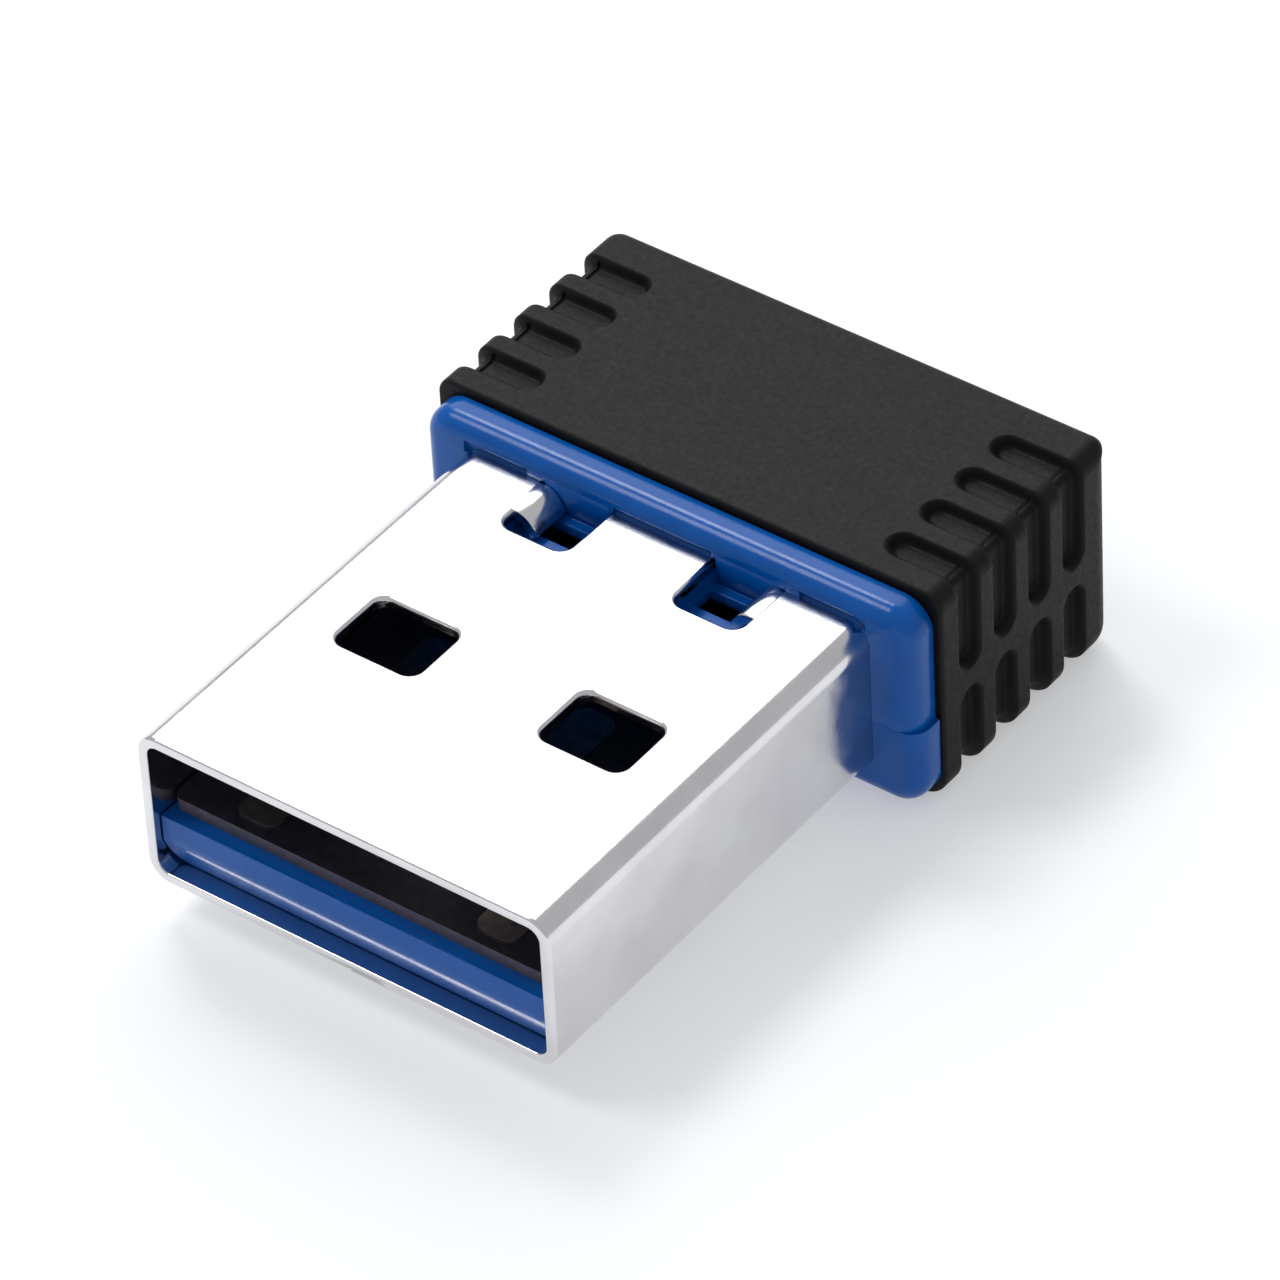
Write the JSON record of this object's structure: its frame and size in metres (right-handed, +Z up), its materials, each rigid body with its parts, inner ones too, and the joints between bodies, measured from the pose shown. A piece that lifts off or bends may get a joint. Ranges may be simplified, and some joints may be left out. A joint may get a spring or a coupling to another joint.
{
  "type": "usb wifi adapter",
  "caption": "Nano USB-A WiFi adapter: plated plug shell on a glossy two-part collar, with a short ribbed rear cap over the board and antenna.",
  "frame": {"origin": "on the plug's axis, in the plane of the collar's front face, where the adapter stops against the host's port", "axes": "-Y along the plug's axis out of its mouth, +Y into the rear cap, +X across the plug with the contacts' faces up, +Z up from the tongue to the contacts"},
  "size_m": [0.0148, 0.0205, 0.0063],
  "materials": {
    "shell_steel": "nickel-plated sheet, smooth and bright",
    "carrier_plastic": "glossy moulded blue",
    "cap_plastic": "fine matte grain, black",
    "board_laminate": "black solder mask",
    "contact_gold": "gold plate over copper",
    "solder": "tin solder",
    "chip_epoxy": "moulded black epoxy",
    "crystal_can": "plated metal lid",
    "capacitor_ceramic": "tan ceramic with tinned ends",
    "ferrite": "dark grey ferrite",
    "resistor_ceramic": "black glaze with tinned ends",
    "filter_ceramic": "off-white ceramic",
    "trace_copper": "copper trace under solder mask"
  },
  "bodies": {
    "root": {"plug_shell": "shell_steel", "lower_carrier": "carrier_plastic", "upper_carrier": "carrier_plastic", "rear_cap": "cap_plastic", "circuit_board": "board_laminate", "vbus_contact": "contact_gold", "data_minus_contact": "contact_gold", "data_plus_contact": "contact_gold", "ground_contact": "contact_gold", "shell_ground_joints": "solder", "wifi_chip": "chip_epoxy", "crystal": "crystal_can", "crystal_load_capacitors": "capacitor_ceramic", "decoupling_capacitors": "capacitor_ceramic", "voltage_regulator": "chip_epoxy", "power_inductor": "ferrite", "bulk_capacitors": "capacitor_ceramic", "ferrite_bead": "ferrite", "resistors": "resistor_ceramic", "rf_filter": "filter_ceramic", "rf_matching_parts": "capacitor_ceramic", "antenna_trace": "trace_copper"}
  },
  "joints": []
}
